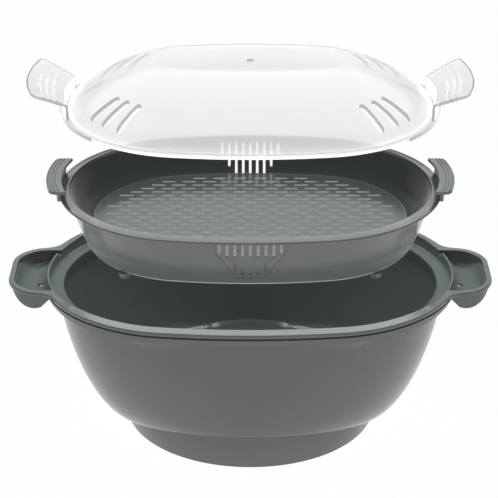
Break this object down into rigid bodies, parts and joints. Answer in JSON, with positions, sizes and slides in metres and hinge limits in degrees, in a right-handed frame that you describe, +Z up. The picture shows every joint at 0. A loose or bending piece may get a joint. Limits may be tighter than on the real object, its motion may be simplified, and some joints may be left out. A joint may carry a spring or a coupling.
{
  "type": "oval steamer attachment",
  "caption": "Oval steamer set for a cooking food processor: deep bowl with scoop handles and a round foot, slotted tray and clear domed lid, lifted apart.",
  "frame": {"origin": "centre of the round foot, on the table", "axes": "+X along the oval to the right-hand handle, +Y to the back, +Z up"},
  "size_m": [0.39, 0.2336, 0.3076],
  "materials": {
    "grey_plastic": "fine satin moulded texture",
    "clear_plastic": "clear, polished"
  },
  "bodies": {
    "bowl": {"bowl_shell": "grey_plastic", "bowl_rim": "grey_plastic", "bowl_floor": "grey_plastic", "foot_ring": "grey_plastic", "handle_left": "grey_plastic", "handle_right": "grey_plastic"},
    "tray": {"tray_wall": "grey_plastic", "tray_rim": "grey_plastic", "tray_floor": "grey_plastic", "tray_grip_left": "grey_plastic", "tray_grip_right": "grey_plastic", "tray_stud_front_left": "grey_plastic", "tray_stud_front_right": "grey_plastic", "tray_stud_back_left": "grey_plastic", "tray_stud_back_right": "grey_plastic"},
    "lid": {"lid_dome": "clear_plastic", "lid_flange": "clear_plastic", "lid_tab_left": "clear_plastic", "lid_tab_right": "clear_plastic"}
  },
  "joints": [
    {"name": "tray_lift", "type": "slide", "parent": "bowl", "child": "tray", "axis": [0, 0, 1], "range_m": [-0.0806, 0]},
    {"name": "lid_lift", "type": "slide", "parent": "tray", "child": "lid", "axis": [0, 0, 1], "range_m": [-0.0645, 0]}
  ]
}
